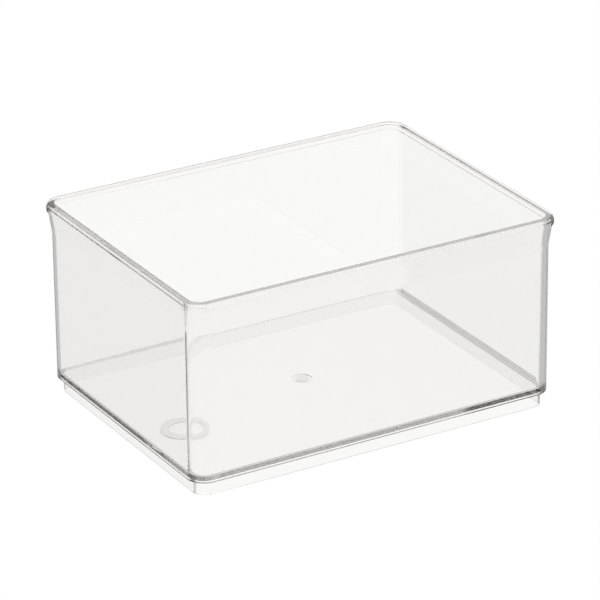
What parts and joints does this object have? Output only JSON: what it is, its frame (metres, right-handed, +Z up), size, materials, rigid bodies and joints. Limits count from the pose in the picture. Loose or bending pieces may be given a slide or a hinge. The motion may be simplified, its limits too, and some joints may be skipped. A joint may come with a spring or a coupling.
{
  "type": "storage bin",
  "caption": "Clear rectangular open-top storage bin with rounded corners, an outward rim and a foot ring that nests inside the rim of a bin below.",
  "frame": {"origin": "centre of the footprint, on the surface that the bin stands on", "axes": "+X along the long side, +Y along the short side towards the back, +Z up out of the open top"},
  "size_m": [0.203, 0.152, 0.0998],
  "materials": {
    "clear_plastic": "clear, polished"
  },
  "bodies": {
    "root": {"bin_body": "clear_plastic"}
  },
  "joints": []
}
